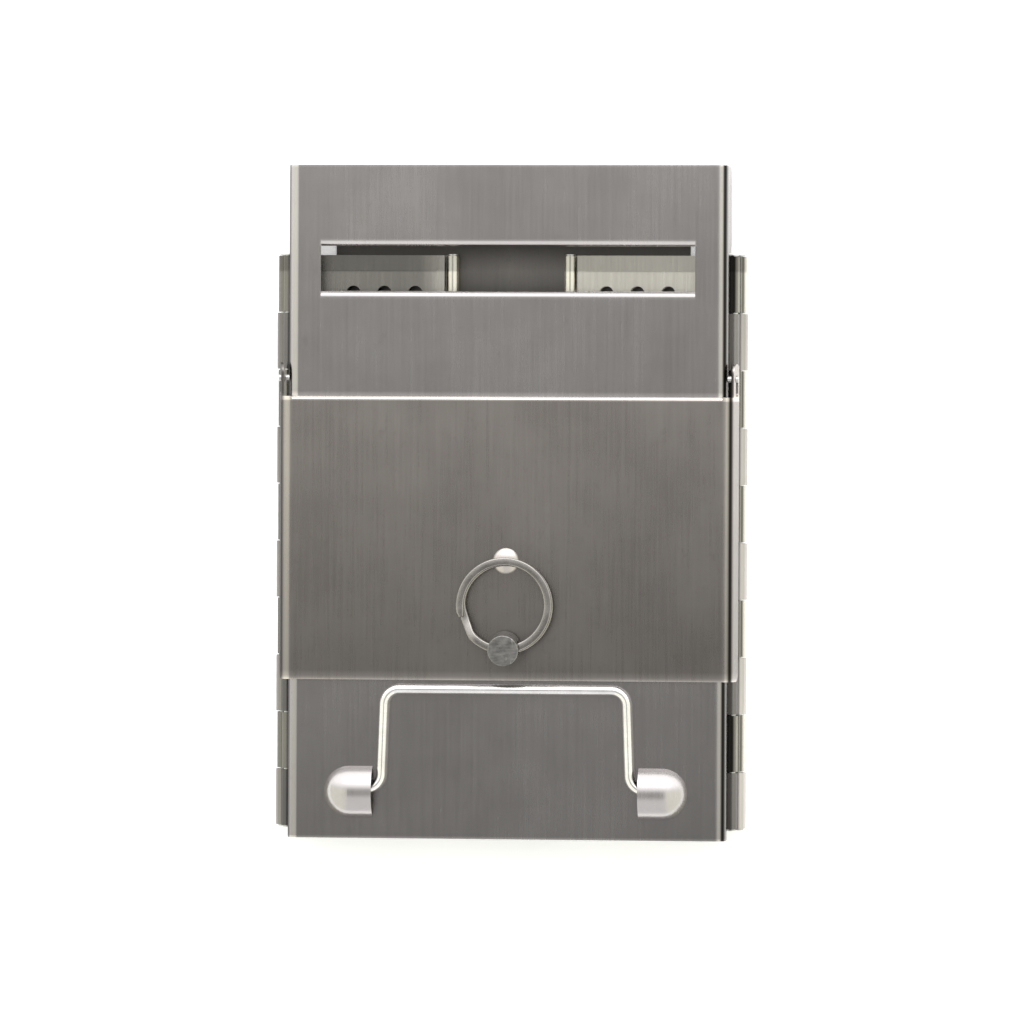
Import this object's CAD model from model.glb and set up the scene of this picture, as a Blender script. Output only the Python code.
from math import cos, pi, radians, sin

import bpy
import bmesh
from mathutils import Matrix, Vector


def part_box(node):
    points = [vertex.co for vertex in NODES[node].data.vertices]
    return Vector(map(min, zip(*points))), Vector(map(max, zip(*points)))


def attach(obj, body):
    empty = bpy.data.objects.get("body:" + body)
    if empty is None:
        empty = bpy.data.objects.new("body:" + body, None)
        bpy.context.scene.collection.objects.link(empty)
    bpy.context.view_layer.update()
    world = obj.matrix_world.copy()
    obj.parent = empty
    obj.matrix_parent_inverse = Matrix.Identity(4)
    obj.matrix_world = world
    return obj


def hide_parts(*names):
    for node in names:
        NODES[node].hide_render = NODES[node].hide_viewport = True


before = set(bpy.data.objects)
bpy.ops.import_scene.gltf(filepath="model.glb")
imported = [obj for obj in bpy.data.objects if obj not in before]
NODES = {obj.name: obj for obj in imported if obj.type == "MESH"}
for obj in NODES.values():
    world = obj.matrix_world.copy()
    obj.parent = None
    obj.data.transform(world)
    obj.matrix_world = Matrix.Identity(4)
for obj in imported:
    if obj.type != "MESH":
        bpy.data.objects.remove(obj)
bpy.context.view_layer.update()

MM = 0.001
X, Y, Z = 0, 1, 2


# ---------------------------------------------------------------- camera
# Nearly straight above the panel and far away, with a long lens, as in the photo.
CAMERA_AT = Vector((200.56, 27.17, 1955.3)) * MM
CAMERA_TO = Vector((0.93, -2.56, 10.0)) * MM
CAMERA_ROLL = 0.0042
FOCAL_PX = 7519.75
FRAME_PX = 1024.0
SENSOR = 36.0
CLIP_NEAR, CLIP_FAR = 0.05, 20.0


def make_camera():
    data = bpy.data.cameras.new("camera")
    data.sensor_width = SENSOR
    data.lens = FOCAL_PX / FRAME_PX * SENSOR
    data.clip_start = CLIP_NEAR
    data.clip_end = CLIP_FAR
    forward = (CAMERA_TO - CAMERA_AT).normalized()
    right = forward.cross(Vector((0, 1, 0))).normalized()
    up = right.cross(forward)
    turned_right = right * cos(CAMERA_ROLL) + up * sin(CAMERA_ROLL)
    turned_up = up * cos(CAMERA_ROLL) - right * sin(CAMERA_ROLL)
    basis = Matrix((turned_right, turned_up, -forward)).transposed().to_4x4()
    camera = bpy.data.objects.new("camera", data)
    camera.matrix_world = Matrix.Translation(CAMERA_AT) @ basis
    bpy.context.scene.collection.objects.link(camera)
    bpy.context.scene.camera = camera


# ---------------------------------------------------------------- node helpers
# Sockets of a mix node that works on colours.
MIX_FACTOR, MIX_A, MIX_B, MIX_RESULT = 0, 6, 7, 2


def set_stops(ramp_node, stops):
    """Fill a colour ramp with (place from 0 to 1, colour) stops."""
    points = ramp_node.color_ramp.elements
    while len(points) < len(stops):
        points.new(0.5)
    for point, (at, colour) in zip(points, stops):
        point.position = at
        point.color = (*colour, 1.0)


def grey(level):
    return (level, level, level)


class Tree:
    """A thin layer over a material's node tree."""

    def __init__(self, name):
        self.material = bpy.data.materials.new(name)
        self.material.use_nodes = True
        self.tree = self.material.node_tree
        self.shader = self.tree.nodes["Principled BSDF"]
        self.coords = self.node("ShaderNodeTexCoord").outputs["Object"]

    def node(self, kind, **values):
        made = self.tree.nodes.new(kind)
        for key, value in values.items():
            setattr(made, key, value)
        return made

    def link(self, source, target):
        self.tree.links.new(source, target)

    def noise(self, scale, detail, rough, stretch=(1, 1, 1), shift=(0, 0, 0)):
        mapping = self.node("ShaderNodeMapping")
        mapping.inputs["Scale"].default_value = stretch
        mapping.inputs["Location"].default_value = shift
        self.link(self.coords, mapping.inputs["Vector"])
        made = self.node("ShaderNodeTexNoise")
        made.inputs["Scale"].default_value = scale
        made.inputs["Detail"].default_value = detail
        made.inputs["Roughness"].default_value = rough
        self.link(mapping.outputs[0], made.inputs["Vector"])
        return made.outputs["Fac"]

    def ramp(self, source, stops):
        made = self.node("ShaderNodeValToRGB")
        set_stops(made, stops)
        self.link(source, made.inputs[0])
        return made.outputs[0]

    def grey_ramp(self, source, stops):
        return self.ramp(source, [(at, grey(level)) for at, level in stops])

    def math(self, operation, a, b):
        made = self.node("ShaderNodeMath", operation=operation)
        for socket, value in zip(made.inputs, (a, b)):
            if isinstance(value, (int, float)):
                socket.default_value = value
            else:
                self.link(value, socket)
        return made.outputs[0]

    def weighted(self, *parts):
        """The sum of sources, each given as (source, weight)."""
        total, *others = [self.math("MULTIPLY", source, weight) for source, weight in parts]
        for share in others:
            total = self.math("ADD", total, share)
        return total

    def towards(self, factor, base, target):
        """A colour source, shifted towards a plain colour by a factor."""
        made = self.node("ShaderNodeMix", data_type="RGBA")
        self.link(factor, made.inputs[MIX_FACTOR])
        self.link(base, made.inputs[MIX_A])
        made.inputs[MIX_B].default_value = (*target, 1.0)
        return made.outputs[MIX_RESULT]

    def axis(self, index):
        parts = self.node("ShaderNodeSeparateXYZ")
        self.link(self.coords, parts.inputs[0])
        return parts.outputs[index]

    def profile(self, index, points):
        """A factor that follows one coordinate: points are (place in mm, factor), in order."""
        first, last = points[0][0], points[-1][0]
        top = max(factor for _, factor in points)
        place = self.node("ShaderNodeMapRange")
        place.inputs["From Min"].default_value = first * MM
        place.inputs["From Max"].default_value = last * MM
        self.link(self.axis(index), place.inputs["Value"])
        stops = [((at - first) / (last - first), factor / top) for at, factor in points]
        return self.math("MULTIPLY", self.grey_ramp(place.outputs[0], stops), top)

    def scaled(self, colour, factor):
        made = self.node("ShaderNodeVectorMath", operation="SCALE")
        self.link(colour, made.inputs[0])
        self.link(factor, made.inputs["Scale"])
        return made.outputs[0]

    def metal(self, colour, rough, dullness, usual):
        """Metal that has the given roughness where its dullness has the usual value."""
        self.link(colour, self.shader.inputs["Base Color"])
        self.shader.inputs["Metallic"].default_value = 1.0
        self.link(self.math("ADD", dullness, rough - usual), self.shader.inputs["Roughness"])

    def bump(self, height, strength, distance):
        made = self.node("ShaderNodeBump")
        made.inputs["Strength"].default_value = strength
        made.inputs["Distance"].default_value = distance
        self.link(height, made.inputs["Height"])
        self.link(made.outputs[0], self.shader.inputs["Normal"])


# ---------------------------------------------------------------- kinds of surface
STAIN_SHADE = 0.8
SCRATCH_TINT = 1.5
FLOOR_GLOW = 0.35


def brushed_steel(name, low, high, rough, grain, profiles, stain=0.35, rims=None, seed=0.0):
    """Brushed stainless sheet: grain along Y, cloudy stains and sparse scratches.
    Each of profiles is (axis, points), a shade that follows one coordinate. One along X also sets
    how much is reflected at grazing angles, so that a dark line stays dark around a bend.
    rims is (points along X, points along Y): polish that is nought where either is."""
    t = Tree(name)
    shift = (seed, seed * 0.7, seed * 1.3)
    grain_fine = t.noise(scale=5200.0, detail=2.0, rough=0.6, stretch=(1.0, 0.03, 1.0), shift=shift)
    grain_wide = t.noise(scale=1500.0, detail=3.0, rough=0.6, stretch=(1.0, 0.02, 1.0), shift=shift)
    cloud = t.noise(scale=34.0, detail=5.0, rough=0.6, shift=shift)
    spots = t.noise(scale=420.0, detail=3.0, rough=0.7, stretch=(1, 0.6, 1), shift=shift)
    tone = t.weighted((grain_fine, grain / 2), (grain_wide, grain / 2), (cloud, 1.0 - grain))
    colour = t.ramp(tone, [(0.31, low), (0.69, high)])
    stains = t.grey_ramp(spots, [(0.60, 0.0), (0.78, stain)])
    colour = t.towards(stains, colour, tuple(level * STAIN_SHADE for level in low))
    for axis, points in profiles:
        factor = t.profile(axis, points)
        colour = t.scaled(colour, factor)
        if axis == X:
            t.link(factor, t.shader.inputs["Specular Tint"])
    if rims:
        across, along = rims
        polish = t.math("MULTIPLY", t.profile(X, across), t.profile(Y, along))
        colour = t.scaled(colour, t.math("ADD", polish, 1.0))
    t.metal(colour, rough, dullness=t.weighted((grain_wide, 0.07), (cloud, 0.08)), usual=0.075)
    scratch = t.noise(scale=240.0, detail=2.0, rough=0.5, stretch=(1.0, 0.05, 1.0), shift=(3.1, 1.7, 0.4))
    lines = t.grey_ramp(scratch, [(0.492, 0.0), (0.50, 1.0), (0.508, 0.0)])
    t.bump(t.weighted((grain_fine, 0.6), (lines, 0.2)), strength=0.08, distance=0.04 * MM)
    return t.material


def drawn_wire(name, low, high, rough, seed=0.0):
    """Drawn wire: faint die lines and dull patches from handling."""
    t = Tree(name)
    shift = (seed, seed, seed)
    patch = t.noise(scale=160.0, detail=4.0, rough=0.6, shift=shift)
    lines = t.noise(scale=2600.0, detail=2.0, rough=0.5, shift=shift)
    colour = t.ramp(t.weighted((patch, 0.7), (lines, 0.3)), [(0.35, low), (0.65, high)])
    t.metal(colour, rough, dullness=t.weighted((patch, 0.22)), usual=0.1)
    t.bump(lines, strength=0.15, distance=0.04 * MM)
    return t.material


def turned_steel(name, low, high, rough):
    """Turned bar end: fine lathe marks and lighter scratches."""
    t = Tree(name)
    patch = t.noise(scale=380.0, detail=5.0, rough=0.65)
    marks = t.noise(scale=1500.0, detail=3.0, rough=0.6, stretch=(0.25, 1.0, 0.25), shift=(0.3, 0.0, 0.9))
    cross = t.noise(scale=1100.0, detail=2.0, rough=0.6, stretch=(1.0, 0.12, 1.0), shift=(1.9, 0.2, 0.0))
    colour = t.ramp(t.weighted((patch, 0.6), (marks, 0.4)), [(0.38, low), (0.62, high)])
    scratches = t.grey_ramp(cross, [(0.60, 0.0), (0.68, 0.7)])
    colour = t.towards(scratches, colour, tuple(level * SCRATCH_TINT for level in high))
    t.metal(colour, rough, dullness=t.weighted((marks, 0.25)), usual=0.12)
    t.bump(t.math("ADD", marks, cross), strength=0.35, distance=0.08 * MM)
    return t.material


def paper(name):
    """The pale floor: matt, with a very faint tooth, and a little self-lit so that it stays white."""
    t = Tree(name)
    tooth = t.noise(scale=60.0, detail=3.0, rough=0.5)
    colour = t.grey_ramp(tooth, [(0.3, 0.93), (0.7, 0.95)])
    t.link(colour, t.shader.inputs["Base Color"])
    t.shader.inputs["Roughness"].default_value = 0.9
    t.shader.inputs["Emission Color"].default_value = (*grey(1.0), 1.0)
    t.shader.inputs["Emission Strength"].default_value = FLOOR_GLOW
    return t.material


# ---------------------------------------------------------------- split ring
RING_OUTER = 12.5 * MM
RING_INNER = 10.4 * MM
RING_COIL_T = 0.90 * MM
RING_COIL_GAP = 0.06 * MM
RING_SIDE_TRIM = 0.02 * MM
RING_CORNER = 0.38 * MM
CORNER_STEPS = 4
RING_TILT = radians(4.5)
RING_END_ANGLE = radians(195)
RING_TURNS = 1.95
RING_STEPS = 260
# Where in the winding, in turns, the wire steps down and is pinched in to pass its own end.
RING_FALL = (0.90, 1.0)
PINCH_IN = (0.91, 0.97)
PINCH_OUT = (0.99, 1.07)
RING_PINCH = 0.55 * MM
RING_DRIFT = 0.28 * MM
DRIFT_BACK = 0.4
# The wire narrows over a few steps at both tips.
TIP_SHARE = 0.55
TIP_STEPS = 3
RING_SMOOTH_ANGLE = radians(40)


def smoothstep(low, high, value):
    share = min(1.0, max(0.0, (value - low) / (high - low)))
    return share * share * (3 - 2 * share)


def ring_section():
    """The flattened wire's outline: a rectangle with well rounded corners."""
    half_w = (RING_OUTER - RING_INNER) / 2 - RING_SIDE_TRIM
    half_t = RING_COIL_T / 2
    points = []
    for x, z, start in ((1, 1, 0), (-1, 1, 90), (-1, -1, 180), (1, -1, 270)):
        for k in range(CORNER_STEPS + 1):
            a = radians(start + 90 / CORNER_STEPS * k)
            points.append((
                x * (half_w - RING_CORNER) + RING_CORNER * cos(a),
                z * (half_t - RING_CORNER) + RING_CORNER * sin(a),
            ))
    return points


def smooth_by_angle(mesh, limit):
    """Shade smooth, with edges sharper than the limit kept hard."""
    mesh.polygons.foreach_set("use_smooth", [True] * len(mesh.polygons))
    work = bmesh.new()
    work.from_mesh(mesh)
    for edge in work.edges:
        if len(edge.link_faces) == 2 and edge.calc_face_angle(0.0) > limit:
            edge.smooth = False
    work.to_mesh(mesh)
    work.free()


def make_ring():
    """Two coils of flat wire wound as one, stepping down where the ends pass each other."""
    low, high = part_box("split_ring")
    centre = (low + high) / 2
    up = Vector((0, sin(RING_TILT), cos(RING_TILT)))
    away = Vector((0, cos(RING_TILT), -sin(RING_TILT)))
    side = Vector((1, 0, 0))
    middle = (RING_OUTER + RING_INNER) / 2
    section = ring_section()
    work = bmesh.new()
    rings = []
    for step in range(RING_STEPS + 1):
        turn = RING_TURNS * step / RING_STEPS
        angle = RING_END_ANGLE - 2 * pi * turn
        fall = smoothstep(*RING_FALL, turn)
        level = (0.5 - fall) * (RING_COIL_T + RING_COIL_GAP)
        pinch = RING_PINCH * smoothstep(*PINCH_IN, turn) * (1 - smoothstep(*PINCH_OUT, turn))
        drift = RING_DRIFT * (fall - 0.5)
        from_tip = min(step, RING_STEPS - step)
        taper = TIP_SHARE + (1 - TIP_SHARE) * smoothstep(0, TIP_STEPS, from_tip)
        radial = side * cos(angle) + away * sin(angle)
        at = centre + radial * (middle - pinch) + up * level + (side - away * DRIFT_BACK) * drift
        rings.append([work.verts.new(at + radial * r * taper + up * h * taper) for r, h in section])
    count = len(section)
    for a, b in zip(rings, rings[1:]):
        for k in range(count):
            work.faces.new((a[k], a[(k + 1) % count], b[(k + 1) % count], b[k]))
    work.faces.new(rings[0])
    work.faces.new(list(reversed(rings[-1])))
    bmesh.ops.recalc_face_normals(work, faces=work.faces)
    mesh = bpy.data.meshes.new("split_ring_coils")
    work.to_mesh(mesh)
    work.free()
    coils = bpy.data.objects.new("split_ring_coils", mesh)
    bpy.context.scene.collection.objects.link(coils)
    smooth_by_angle(mesh, RING_SMOOTH_ANGLE)
    mesh.materials.append(ring_steel())
    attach(coils, "ring")
    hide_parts("split_ring")


# ---------------------------------------------------------------- light and floor
WORLD_STRENGTH = 2.4
CEILING = (0.155, 0.153, 0.152)
SIDE_WALLS = (0.49, 0.492, 0.44)
# Colour by the X part of a direction, and grey level by its Y part. The lighter of the two shows.
WORLD_ACROSS = [
    (-1.0, SIDE_WALLS), (-0.30, SIDE_WALLS), (-0.20, CEILING),
    (0.16, CEILING), (0.25, SIDE_WALLS), (1.0, SIDE_WALLS),
]
WORLD_ALONG = [
    (-1.0, 0.40), (-0.45, 0.40), (-0.2, 0.16), (0.0, 0.10),
    (0.12, 0.17), (0.32, 0.58), (0.5, 0.80), (1.0, 0.80),
]
TOP_BOX_AT = (0.1, 1.6, 1.5)
TOP_BOX_SIZE = (2.2, 0.9)
TOP_BOX_POWER = 12.0
FLOOR_SIZE = 12.0
FLOOR_DROP = 0.4 * MM


def world_ramp(tree, source, stops):
    """A ramp over a direction's component, with stops given from -1 to 1."""
    spread = tree.nodes.new("ShaderNodeMapRange")
    spread.inputs["From Min"].default_value = -1.0
    tree.links.new(source, spread.inputs["Value"])
    ramp = tree.nodes.new("ShaderNodeValToRGB")
    set_stops(ramp, [((at + 1.0) / 2.0, colour) for at, colour in stops])
    tree.links.new(spread.outputs[0], ramp.inputs[0])
    return ramp.outputs[0]


def make_world():
    """Grey ceiling, beige walls to the sides, a broad bright sweep at +Y, pale at -Y."""
    world = bpy.data.worlds.new("studio")
    world.use_nodes = True
    tree = world.node_tree
    direction = tree.nodes.new("ShaderNodeTexCoord").outputs["Generated"]
    parts = tree.nodes.new("ShaderNodeSeparateXYZ")
    tree.links.new(direction, parts.inputs[0])
    across = world_ramp(tree, parts.outputs[X], WORLD_ACROSS)
    along = world_ramp(tree, parts.outputs[Y], [(at, grey(level)) for at, level in WORLD_ALONG])
    mixed = tree.nodes.new("ShaderNodeMix")
    mixed.data_type = "RGBA"
    mixed.blend_type = "LIGHTEN"
    mixed.inputs[MIX_FACTOR].default_value = 1.0
    tree.links.new(across, mixed.inputs[MIX_A])
    tree.links.new(along, mixed.inputs[MIX_B])
    background = tree.nodes["Background"]
    tree.links.new(mixed.outputs[MIX_RESULT], background.inputs["Color"])
    background.inputs["Strength"].default_value = WORLD_STRENGTH
    bpy.context.scene.world = world


def make_top_light():
    data = bpy.data.lights.new("top_box", "AREA")
    data.shape = "RECTANGLE"
    data.size, data.size_y = TOP_BOX_SIZE
    data.energy = TOP_BOX_POWER
    light = bpy.data.objects.new("top_box", data)
    place = Vector(TOP_BOX_AT)
    aim = (-place).to_track_quat("-Z", "Y")
    light.matrix_world = Matrix.Translation(place) @ aim.to_matrix().to_4x4()
    bpy.context.scene.collection.objects.link(light)


def make_floor():
    at = (0, 0, -FLOOR_DROP)
    bpy.ops.mesh.primitive_grid_add(x_subdivisions=2, y_subdivisions=2, size=FLOOR_SIZE, location=at)
    floor = bpy.context.object
    floor.name = "floor"
    floor.data.materials.append(paper("floor_paper"))


# ---------------------------------------------------------------- the object's materials
# The shades imitate the reflections on bends, rims and knuckles as they look from above. They
# follow the object's own coordinates, so they stay where they are from every side.
def panel_steel():
    across = [
        (-60.0, 0.45), (-57.3, 0.45), (-57.2, 0.4), (-56.6, 0.6), (-56.3, 1.25), (-54.9, 1.25),
        (-54.4, 1.0), (54.5, 1.0), (55.0, 1.15), (55.9, 1.15), (56.15, 0.06), (56.95, 0.06),
        (57.1, 0.9), (57.3, 0.9), (57.35, 0.7), (60.0, 0.6),
    ]
    along = [
        (-87.5, 1.2), (-87.2, 0.60), (-60.0, 0.66), (27.0, 0.80), (27.4, 1.5), (28.6, 0.82),
        (50.0, 0.88), (68.4, 0.95), (87.2, 1.0), (87.5, 1.4),
    ]
    # Dark towards the floor, bright on the barrels that stand out of the face.
    upward = [(0.0, 0.4), (1.9, 0.4), (2.4, 1.0), (15.02, 1.0), (15.3, 1.9), (20.0, 1.9)]
    slot_width = [(-49.2, 0.0), (-48.8, 1.0), (48.8, 1.0), (49.2, 0.0)]
    slot_rims = [
        (52.4, 0.0), (53.2, 0.2), (54.8, 0.2), (54.9, 0.0),
        (66.4, 0.0), (66.5, 0.75), (67.5, 0.6), (68.4, 0.0),
    ]
    return brushed_steel(
        "panel_steel", low=(0.42, 0.40, 0.395), high=(0.475, 0.452, 0.45), rough=0.26, grain=0.4,
        profiles=((X, across), (Y, along), (Z, upward)), stain=0.3, rims=(slot_width, slot_rims),
    )


def flap_steel():
    across = [
        (-60.4, 0.35), (-58.7, 0.35), (-58.3, 0.5), (-58.0, 1.3), (-56.5, 1.3), (-56.1, 1.0),
        (56.1, 1.0), (56.5, 1.3), (57.5, 1.3), (57.75, 0.04), (58.5, 0.04), (58.65, 1.1), (60.4, 1.1),
    ]
    along = [
        (-46.2, 2.0), (-45.8, 1.2), (-45.3, 0.85), (-43.8, 0.60), (-15.0, 0.74), (0.0, 0.82),
        (26.2, 0.92), (26.6, 1.9), (27.6, 1.9), (28.0, 1.2), (40.0, 1.2),
    ]
    # Bright on the pressed dimple, which stands out of the face.
    upward = [(9.0, 1.0), (16.15, 1.0), (16.35, 2.2), (17.1, 2.2)]
    return brushed_steel(
        "flap_steel", low=(0.33, 0.303, 0.286), high=(0.39, 0.362, 0.343), rough=0.28, grain=0.4,
        profiles=((X, across), (Y, along), (Z, upward)), seed=1.3,
    )


def wall_steel():
    across = [
        (-60.0, 0.3), (-57.0, 0.3), (-49.0, 0.5), (-24.0, 0.52), (-18.0, 1.0), (-14.0, 1.1),
        (54.0, 1.1), (56.0, 0.3), (57.0, 0.10), (58.6, 0.02), (59.1, 0.3), (59.8, 0.5), (60.2, 0.6),
        (60.4, 0.12), (60.8, 0.12), (61.0, 1.1), (61.4, 1.1),
    ]
    along = [(-85.0, 0.9), (60.0, 1.0), (60.2, 0.66), (65.0, 0.70)]
    return brushed_steel(
        "wall_steel", low=(0.66, 0.635, 0.58), high=(0.80, 0.77, 0.705), rough=0.26, grain=0.6,
        profiles=((X, across), (Y, along)), seed=2.1,
    )


def front_steel():
    across = [
        (-62.0, 1.6), (-57.0, 1.6), (-48.0, 1.0), (-12.0, 1.0), (0.0, 1.15), (12.0, 1.0), (48.0, 1.0),
        (57.0, 3.0), (60.6, 3.4), (60.8, 1.8), (61.1, 3.4), (62.0, 3.4),
    ]
    along = [(-85.0, 1.0), (52.0, 0.75), (60.0, 1.15), (68.0, 0.5)]
    return brushed_steel(
        "front_steel", low=(0.15, 0.142, 0.135), high=(0.19, 0.18, 0.172), rough=0.30, grain=0.4,
        profiles=((X, across), (Y, along)), seed=3.7,
    )


def rod_steel():
    return drawn_wire("rod_steel", low=(0.50, 0.49, 0.48), high=(0.70, 0.69, 0.68), rough=0.30)


def bail_steel():
    return drawn_wire("bail_steel", low=(0.78, 0.76, 0.75), high=(0.95, 0.93, 0.92), rough=0.15, seed=1.0)


def stud_steel():
    return turned_steel("stud_steel", low=(0.15, 0.145, 0.14), high=(0.29, 0.28, 0.27), rough=0.32)


def ring_steel():
    return drawn_wire("ring_steel", low=(0.25, 0.235, 0.22), high=(0.36, 0.34, 0.32), rough=0.20, seed=2.0)


def dress(material, *nodes):
    for node in nodes:
        slots = NODES[node].data.materials
        slots.clear()
        slots.append(material)


def both(*parts):
    return [f"{hand}_{part}" for hand in ("left", "right") for part in parts]


# ---------------------------------------------------------------- the scene
make_camera()
make_world()
make_top_light()
make_floor()

dress(panel_steel(), "main_panel")
dress(flap_steel(), "cover_flap")
dress(wall_steel(), *both("rear_wall", "front_wall"))
dress(front_steel(), "front_wall")
dress(rod_steel(), *both("rear_rod", "mid_rod", "front_rod", "pivot_pin", "pivot_washer"))
dress(bail_steel(), "bail_handle")
dress(stud_steel(), "pull_stud", "stud_washer")
make_ring()

bpy.context.scene.view_settings.view_transform = "Standard"
